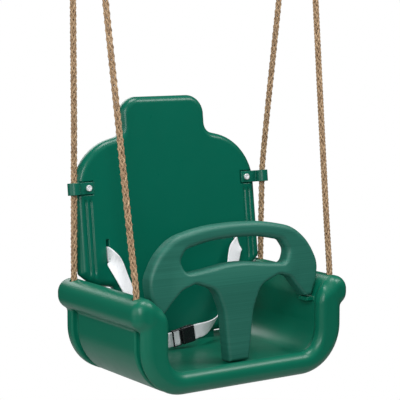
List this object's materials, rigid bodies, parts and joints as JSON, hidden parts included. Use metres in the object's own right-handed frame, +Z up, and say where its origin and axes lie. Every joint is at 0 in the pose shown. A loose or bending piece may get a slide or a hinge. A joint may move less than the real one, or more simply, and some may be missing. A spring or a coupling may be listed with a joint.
{
  "type": "toddler bucket swing",
  "caption": "Toddler swing seat: hollow U-shaped bucket with arm tubes, high backrest, lift-out front guard and lap belt, hung on twin ropes from steel rings.",
  "frame": {"origin": "middle of the swing axis, on the line through the lower wires of the two hanger rings", "axes": "+X to the child's left hand seen from the front (image right), -Y is where the child faces, +Z up"},
  "size_m": [0.49, 0.2738, 0.9477],
  "materials": {
    "moulded_green": "satin moulded polyethylene",
    "guard_green": "finely grained moulded polyethylene",
    "hemp_rope": "plaited hemp-look polypropylene",
    "white_webbing": "woven webbing",
    "black_acetal": "moulded acetal",
    "zinc_steel": "zinc-plated"
  },
  "bodies": {
    "hanger": {"hanger_ring_left": "zinc_steel", "hanger_ring_right": "zinc_steel"},
    "swing": {"backrest_shell": "moulded_green", "buckle_receiver": "black_acetal", "clip_nut_left": "zinc_steel", "clip_nut_right": "zinc_steel", "clip_screw_left": "zinc_steel", "clip_screw_right": "zinc_steel", "rope_clip_left": "moulded_green", "rope_clip_right": "moulded_green", "rope_knot_left_front": "hemp_rope", "rope_knot_left_rear": "hemp_rope", "rope_knot_right_front": "hemp_rope", "rope_knot_right_rear": "hemp_rope", "rope_left": "hemp_rope", "rope_right": "hemp_rope", "rope_thimble_left": "zinc_steel", "rope_thimble_right": "zinc_steel", "rope_washer_left_front": "zinc_steel", "rope_washer_left_rear": "zinc_steel", "rope_washer_right_front": "zinc_steel", "rope_washer_right_rear": "zinc_steel", "seat_shell": "moulded_green", "strap_left": "white_webbing", "strap_right": "white_webbing", "strap_stop_left": "black_acetal", "strap_stop_right": "black_acetal"},
    "guard": {"front_guard": "guard_green"},
    "buckle_half": {"buckle_plug": "black_acetal"}
  },
  "joints": [
    {"name": "swing_pivot", "type": "hinge", "parent": "hanger", "child": "swing", "pos_m": [0, 0, 0], "axis": [1, 0, 0], "range_deg": [-35, 35]},
    {"name": "guard_lift", "type": "slide", "parent": "swing", "child": "guard", "axis": [0, 0, 1], "range_m": [0, 0.12]},
    {"name": "buckle_release", "type": "slide", "parent": "swing", "child": "buckle_half", "axis": [-0.9877, 0, -0.1564], "range_m": [0, 0.016], "deforming": ["strap_left"]}
  ]
}
